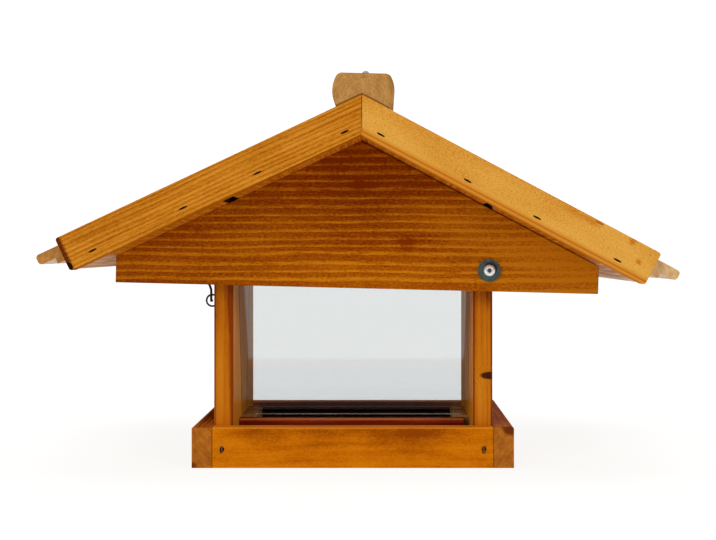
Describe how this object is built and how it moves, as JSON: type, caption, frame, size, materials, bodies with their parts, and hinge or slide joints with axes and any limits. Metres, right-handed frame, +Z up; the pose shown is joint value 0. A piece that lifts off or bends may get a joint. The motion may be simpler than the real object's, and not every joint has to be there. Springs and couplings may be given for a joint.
{
  "type": "bird feeding house",
  "caption": "Wooden bird feeding house: a tray and two walls hold a V-shaped clear seed hopper under a hinged gable roof with a hook latch.",
  "frame": {"origin": "middle of the underside of the tray, on the surface that the house stands on", "axes": "+X to the right seen from the front (towards the roof hinge), +Y from the front to the back, +Z up"},
  "size_m": [0.5482, 0.423, 0.3733],
  "materials": {
    "stained_wood": "orange-brown stained softwood, satin",
    "dark_stained_wood": "red-brown stained softwood, satin",
    "weathered_wood": "dull taupe softwood",
    "log_wood": "pale tan turned softwood",
    "clear_pane": "clear acrylic sheet",
    "zinc_steel": "zinc-plated steel",
    "washer_steel": "dark bluish-grey plated steel",
    "hook_steel": "browned steel wire",
    "staple_steel": "dull dark steel wire"
  },
  "bodies": {
    "base": {"side_wall_left": "stained_wood", "side_wall_right": "stained_wood", "tray_front_board": "stained_wood", "tray_back_board": "stained_wood", "tray_side_board_left": "dark_stained_wood", "tray_side_board_right": "dark_stained_wood", "floor_board": "dark_stained_wood", "trough_rail_front": "dark_stained_wood", "trough_rail_back": "dark_stained_wood", "trough_block_left": "weathered_wood", "trough_block_right": "weathered_wood", "pane_front": "clear_pane", "pane_back": "clear_pane", "tray_staples": "staple_steel", "hinge_screws": "zinc_steel", "hinge_washers": "washer_steel", "latch_eye": "zinc_steel"},
    "roof": {"gable_front": "dark_stained_wood", "gable_back": "dark_stained_wood", "bargeboard_front_left": "stained_wood", "bargeboard_front_right": "stained_wood", "bargeboard_back_left": "stained_wood", "bargeboard_back_right": "stained_wood", "roof_plank_upper_left": "stained_wood", "roof_plank_upper_right": "stained_wood", "roof_plank_lower_left": "stained_wood", "roof_plank_lower_right": "stained_wood", "ridge_log": "log_wood", "hanging_eye": "zinc_steel", "bargeboard_staples": "staple_steel", "hook_eye": "hook_steel"},
    "hook": {"latch_hook": "hook_steel"}
  },
  "joints": [
    {"name": "roof_hinge", "type": "hinge", "parent": "base", "child": "roof", "pos_m": [0.123, 0, 0.1784], "axis": [0, 1, 0], "range_deg": [0, 78]},
    {"name": "hook_swing", "type": "hinge", "parent": "roof", "child": "hook", "pos_m": [-0.1435, -0.00955, 0.21205], "axis": [1, 0, 0], "range_deg": [-75, 6]}
  ]
}
